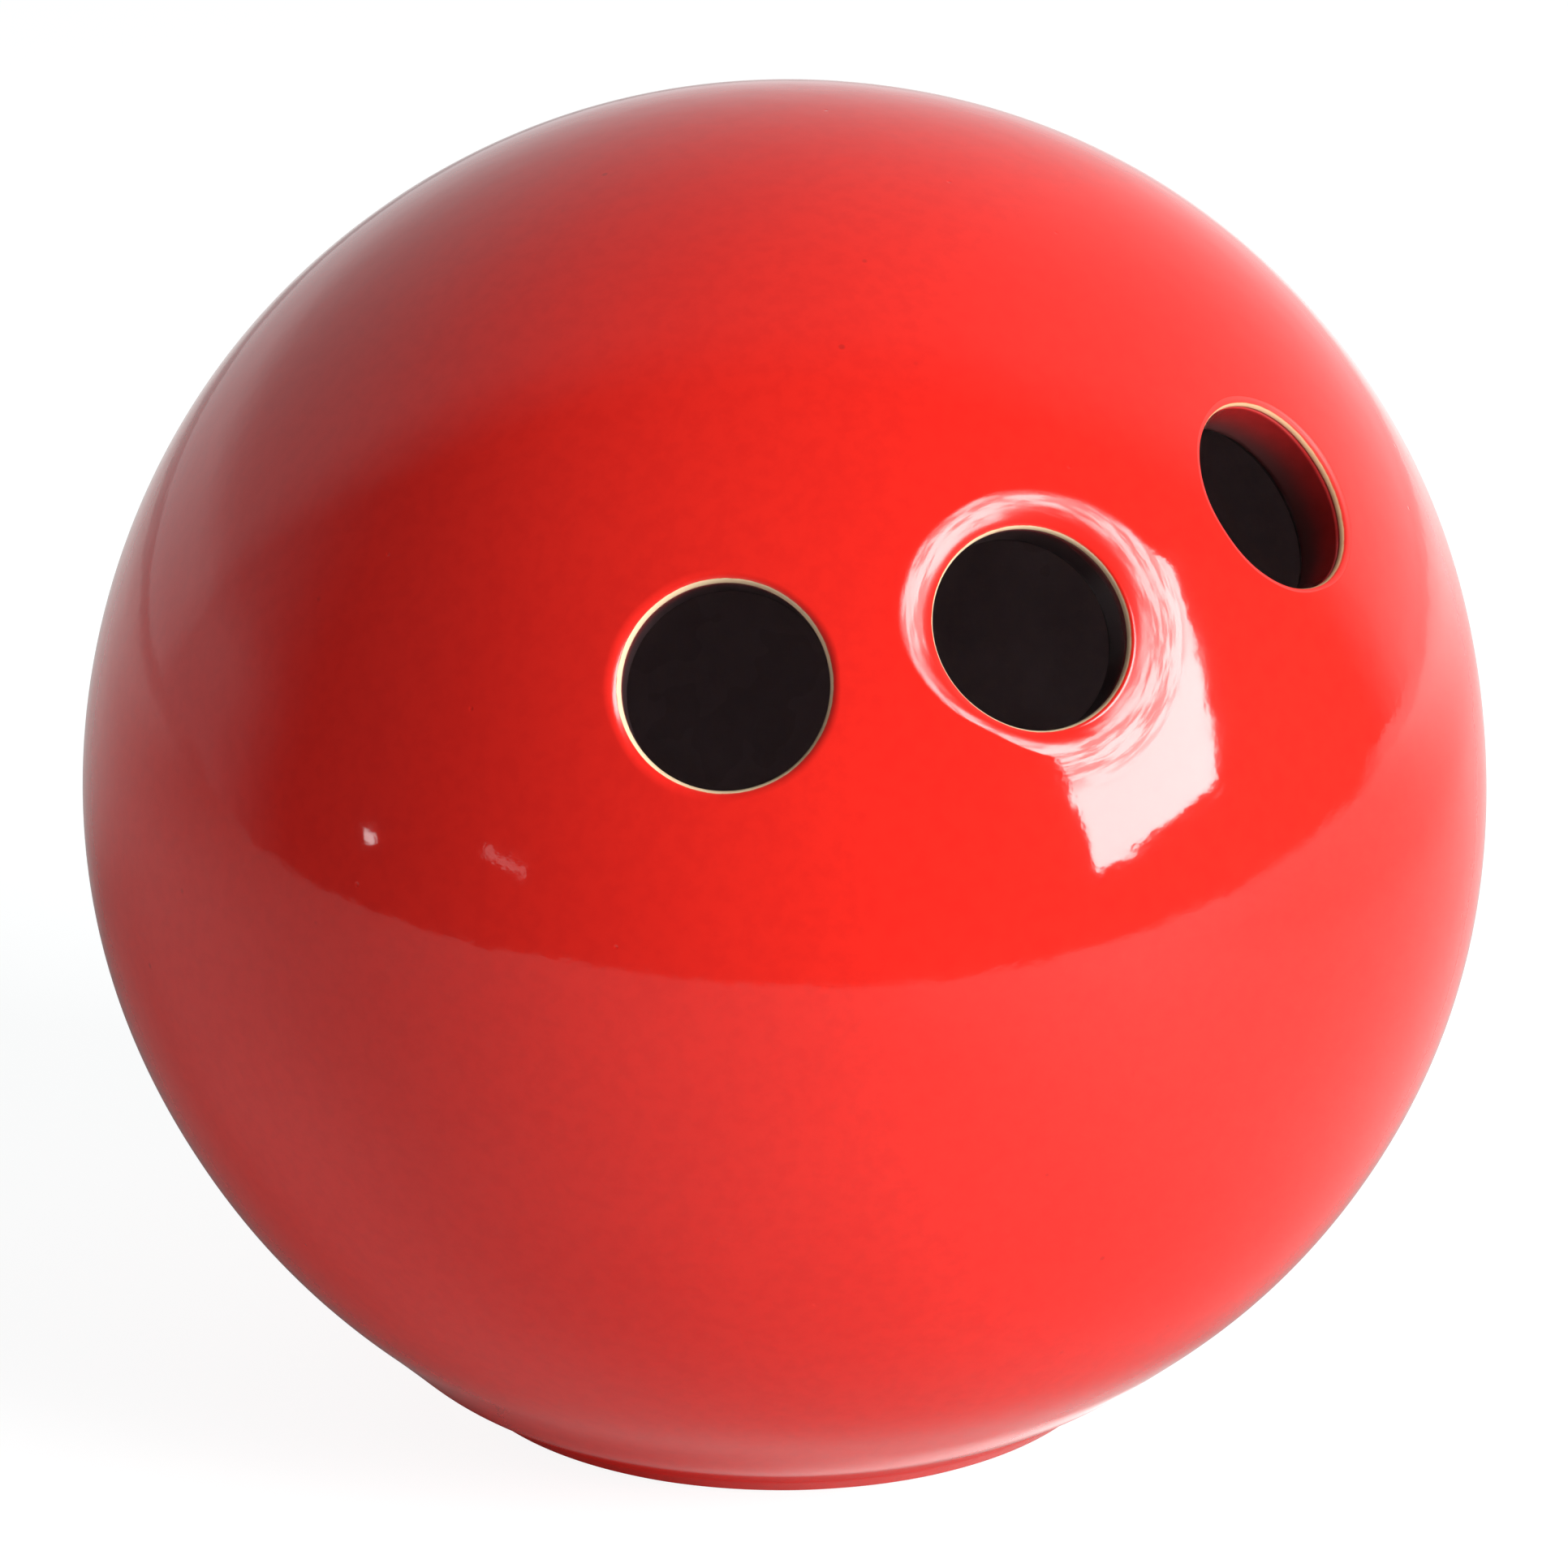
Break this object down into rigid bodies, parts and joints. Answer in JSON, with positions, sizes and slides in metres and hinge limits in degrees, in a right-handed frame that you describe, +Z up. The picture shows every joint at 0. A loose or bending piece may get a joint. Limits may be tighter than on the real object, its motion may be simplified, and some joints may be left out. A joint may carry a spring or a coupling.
{
  "type": "decorative ceramic bowling ball",
  "caption": "Hollow red-glazed ceramic ball shaped like a bowling ball, with round holes in a row across the front that open into the hollow, standing on a low foot ring.",
  "frame": {"origin": "centre of the foot's resting ring, on the surface that the ball stands on", "axes": "+Z up; -Y is the front, where the middle hole faces; +X is to the right when the front is looked at"},
  "size_m": [0.216, 0.216, 0.2043],
  "materials": {
    "clay": "bare fired buff earthenware, matt",
    "red_glaze": "high-gloss red glaze, slightly uneven, breaking to cream at the hole lips",
    "hole_glaze": "deep red gloss glaze",
    "liner_glaze": "dark semi-gloss liner glaze",
    "base_glaze": "thin satin glaze over clay"
  },
  "bodies": {
    "root": {"clay_body": "clay", "outer_glaze": "red_glaze", "left_hole_glaze": "hole_glaze", "middle_hole_glaze": "hole_glaze", "right_hole_glaze": "hole_glaze", "inner_glaze": "liner_glaze", "base_glaze": "base_glaze"}
  },
  "joints": []
}
